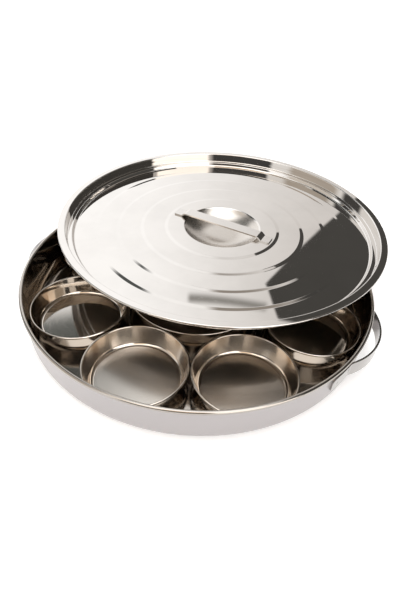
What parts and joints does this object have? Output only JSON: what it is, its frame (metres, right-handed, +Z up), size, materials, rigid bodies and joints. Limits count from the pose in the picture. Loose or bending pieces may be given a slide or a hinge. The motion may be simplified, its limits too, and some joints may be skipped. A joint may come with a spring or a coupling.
{
  "type": "spice box",
  "caption": "Round steel spice box: shallow tray with two strap handles, small bowls round a larger one, and a stepped flat lid with a strap over a finger dish, laid open.",
  "frame": {"origin": "on the table under the centre of the tray", "axes": "+Z up, -Y toward the side where the lid leaves the bowls open"},
  "size_m": [0.348, 0.3957, 0.052],
  "materials": {
    "tray_steel": "polished inside, satin outside",
    "bowl_steel": "polished",
    "lid_steel": "polished",
    "strap_steel": "satin"
  },
  "bodies": {
    "tray": {"tray_pan": "tray_steel", "side_handle_right": "strap_steel", "side_handle_left": "strap_steel"},
    "lid": {"lid_pan": "lid_steel", "lid_strap": "strap_steel"},
    "small_bowl_1_body": {"small_bowl_1": "bowl_steel"},
    "small_bowl_2_body": {"small_bowl_2": "bowl_steel"},
    "small_bowl_3_body": {"small_bowl_3": "bowl_steel"},
    "small_bowl_4_body": {"small_bowl_4": "bowl_steel"},
    "small_bowl_5_body": {"small_bowl_5": "bowl_steel"},
    "small_bowl_6_body": {"small_bowl_6": "bowl_steel"},
    "small_bowl_7_body": {"small_bowl_7": "bowl_steel"},
    "large_bowl_body": {"large_bowl": "bowl_steel"}
  },
  "joints": [
    {"name": "lid_lift", "type": "slide", "parent": "tray", "child": "lid", "axis": [0, 0, 1], "range_m": [0, 0.25]},
    {"name": "small_bowl_1_lift", "type": "slide", "parent": "tray", "child": "small_bowl_1_body", "axis": [0, 0, 1], "range_m": [0, 0.1]},
    {"name": "small_bowl_2_lift", "type": "slide", "parent": "tray", "child": "small_bowl_2_body", "axis": [0, 0, 1], "range_m": [0, 0.1]},
    {"name": "small_bowl_3_lift", "type": "slide", "parent": "tray", "child": "small_bowl_3_body", "axis": [0, 0, 1], "range_m": [0, 0.1]},
    {"name": "small_bowl_4_lift", "type": "slide", "parent": "tray", "child": "small_bowl_4_body", "axis": [0, 0, 1], "range_m": [0, 0.1]},
    {"name": "small_bowl_5_lift", "type": "slide", "parent": "tray", "child": "small_bowl_5_body", "axis": [0, 0, 1], "range_m": [0, 0.1]},
    {"name": "small_bowl_6_lift", "type": "slide", "parent": "tray", "child": "small_bowl_6_body", "axis": [0, 0, 1], "range_m": [0, 0.1]},
    {"name": "small_bowl_7_lift", "type": "slide", "parent": "tray", "child": "small_bowl_7_body", "axis": [0, 0, 1], "range_m": [0, 0.1]},
    {"name": "large_bowl_lift", "type": "slide", "parent": "tray", "child": "large_bowl_body", "axis": [0, 0, 1], "range_m": [0, 0.1]}
  ],
  "couplings": [
    {"joint": "small_bowl_1_lift", "follows": "lid_lift", "ratio": 0.4},
    {"joint": "small_bowl_2_lift", "follows": "lid_lift", "ratio": 0.4},
    {"joint": "small_bowl_3_lift", "follows": "lid_lift", "ratio": 0.4},
    {"joint": "small_bowl_4_lift", "follows": "lid_lift", "ratio": 0.4},
    {"joint": "small_bowl_5_lift", "follows": "lid_lift", "ratio": 0.4},
    {"joint": "small_bowl_6_lift", "follows": "lid_lift", "ratio": 0.4},
    {"joint": "small_bowl_7_lift", "follows": "lid_lift", "ratio": 0.4},
    {"joint": "large_bowl_lift", "follows": "lid_lift", "ratio": 0.4}
  ]
}
